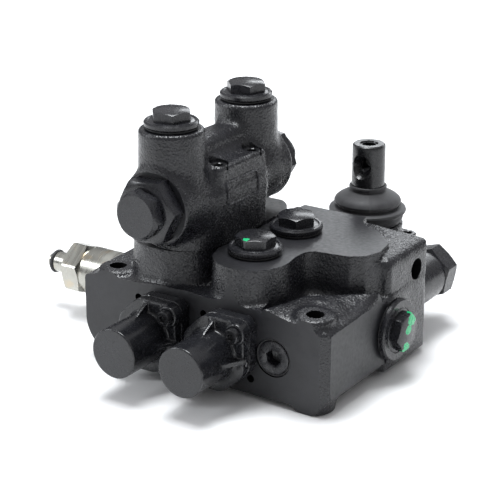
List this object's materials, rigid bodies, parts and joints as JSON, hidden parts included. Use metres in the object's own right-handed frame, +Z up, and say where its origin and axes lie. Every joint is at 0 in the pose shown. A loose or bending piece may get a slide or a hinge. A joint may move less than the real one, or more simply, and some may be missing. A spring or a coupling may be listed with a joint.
{
  "type": "hydraulic directional control valve",
  "caption": "Monoblock hydraulic control valve with joystick lever, spool end caps, bolted-on check valve block, port plugs and relief cartridges",
  "frame": {"origin": "under the middle of the valve's box, at the level of its feet", "axes": "+X along the front face toward the side port plug, +Y along the spools from the caps to the joystick, +Z up"},
  "size_m": [0.227, 0.2152, 0.1437],
  "materials": {
    "black_paint": "satin black paint over cast iron and steel",
    "black_steel": "black oxide",
    "zinc": "zinc plating, slightly yellow",
    "ground_steel": "ground",
    "spring_steel": "oiled spring wire",
    "rubber": "matte moulded rubber"
  },
  "bodies": {
    "valve": {"valve_body": "black_paint", "check_block": "black_paint", "joystick_housing": "black_paint", "spool_cap_left": "black_paint", "cap_spacer_left": "black_paint", "cap_screw_left_upper": "black_steel", "cap_screw_left_lower": "black_steel", "centring_spring_left": "spring_steel", "spool_cap_right": "black_paint", "cap_spacer_right": "black_paint", "cap_screw_right_upper": "black_steel", "cap_screw_right_lower": "black_steel", "centring_spring_right": "spring_steel", "front_gallery_plug": "black_steel", "grease_screw": "black_steel", "joystick_bolt_left": "black_steel", "joystick_bolt_right": "black_steel", "deck_plug_front": "black_paint", "deck_plug_front_washer": "rubber", "deck_plug_rear": "black_paint", "deck_plug_rear_washer": "rubber", "side_plug": "black_paint", "side_plug_washer": "rubber", "tower_plug_front": "black_paint", "tower_plug_front_washer": "rubber", "tower_plug_rear": "black_paint", "tower_plug_rear_washer": "rubber", "block_screw_right_front": "black_steel", "block_screw_right_rear": "black_steel", "block_screw_left_front": "black_steel", "block_screw_left_rear": "black_steel", "check_cartridge_front": "black_paint", "check_end_plug_front": "black_paint", "check_spring_front": "spring_steel", "check_cartridge_rear": "black_paint", "check_end_plug_rear": "black_paint", "check_spring_rear": "spring_steel", "bell_crank_pin": "ground_steel", "relief_body": "zinc", "relief_adjuster": "zinc", "relief_o_ring": "rubber", "rear_relief_o_ring": "rubber", "lever_boot": "rubber", "relief_spring": "spring_steel", "rear_relief_body": "black_paint", "rear_relief_adjuster": "black_paint"},
    "gimbal": {"gimbal_cross": "ground_steel"},
    "lever_arm": {"lever": "black_steel"},
    "crank": {"bell_crank": "ground_steel"},
    "left_spool": {"spool_left": "ground_steel", "spool_end_screw_left": "ground_steel", "spring_seat_left": "ground_steel"},
    "right_spool": {"spool_right": "ground_steel", "spool_end_screw_right": "ground_steel", "spring_seat_right": "ground_steel"},
    "main_relief_poppet": {"relief_poppet": "ground_steel"},
    "front_check": {"check_poppet_front": "ground_steel"},
    "rear_check": {"check_poppet_rear": "ground_steel"},
    "pilot": {"pilot_piston": "ground_steel"}
  },
  "joints": [
    {"name": "fore_aft_tilt", "type": "hinge", "parent": "valve", "child": "gimbal", "pos_m": [0.04325, 0.07835, 0.0417], "axis": [1, 0, 0], "range_deg": [-16, 16], "stiffness_Nm_per_rad": 2, "deforming": ["lever_boot"]},
    {"name": "side_tilt", "type": "hinge", "parent": "gimbal", "child": "lever_arm", "pos_m": [0.04325, 0.07835, 0.0417], "axis": [0, 1, 0], "range_deg": [-16, 16], "stiffness_Nm_per_rad": 2, "deforming": ["lever_boot"]},
    {"name": "bell_crank_turn", "type": "hinge", "parent": "valve", "child": "crank", "pos_m": [0.00125, 0.05785, 0.0417], "axis": [1, 0, 0], "range_deg": [-16, 16]},
    {"name": "right_spool_slide", "type": "slide", "parent": "valve", "child": "right_spool", "axis": [0, 1, 0], "range_m": [-0.0042, 0.0042], "deforming": ["centring_spring_right"]},
    {"name": "left_spool_slide", "type": "slide", "parent": "valve", "child": "left_spool", "axis": [0, 1, 0], "range_m": [-0.0042, 0.0042], "deforming": ["centring_spring_left"]},
    {"name": "main_relief_lift", "type": "slide", "parent": "valve", "child": "main_relief_poppet", "axis": [-1, 0, 0], "range_m": [0, 0.002], "stiffness_N_per_m": 2000, "springref_m": -0.001, "deforming": ["relief_spring"]},
    {"name": "front_check_lift", "type": "slide", "parent": "valve", "child": "front_check", "axis": [0, -1, 0], "range_m": [0, 0.003], "stiffness_N_per_m": 800, "springref_m": -0.002, "deforming": ["check_spring_front"]},
    {"name": "rear_check_lift", "type": "slide", "parent": "valve", "child": "rear_check", "axis": [0, 1, 0], "range_m": [0, 0.003], "stiffness_N_per_m": 800, "springref_m": -0.002, "deforming": ["check_spring_rear"]},
    {"name": "pilot_piston_slide", "type": "slide", "parent": "valve", "child": "pilot", "axis": [0, 1, 0], "range_m": [-0.0035, 0.0035]}
  ],
  "couplings": [
    {"joint": "right_spool_slide", "follows": "fore_aft_tilt", "m_per_rad": 0.015},
    {"joint": "bell_crank_turn", "follows": "side_tilt", "ratio": 1},
    {"joint": "left_spool_slide", "follows": "side_tilt", "m_per_rad": 0.015}
  ]
}
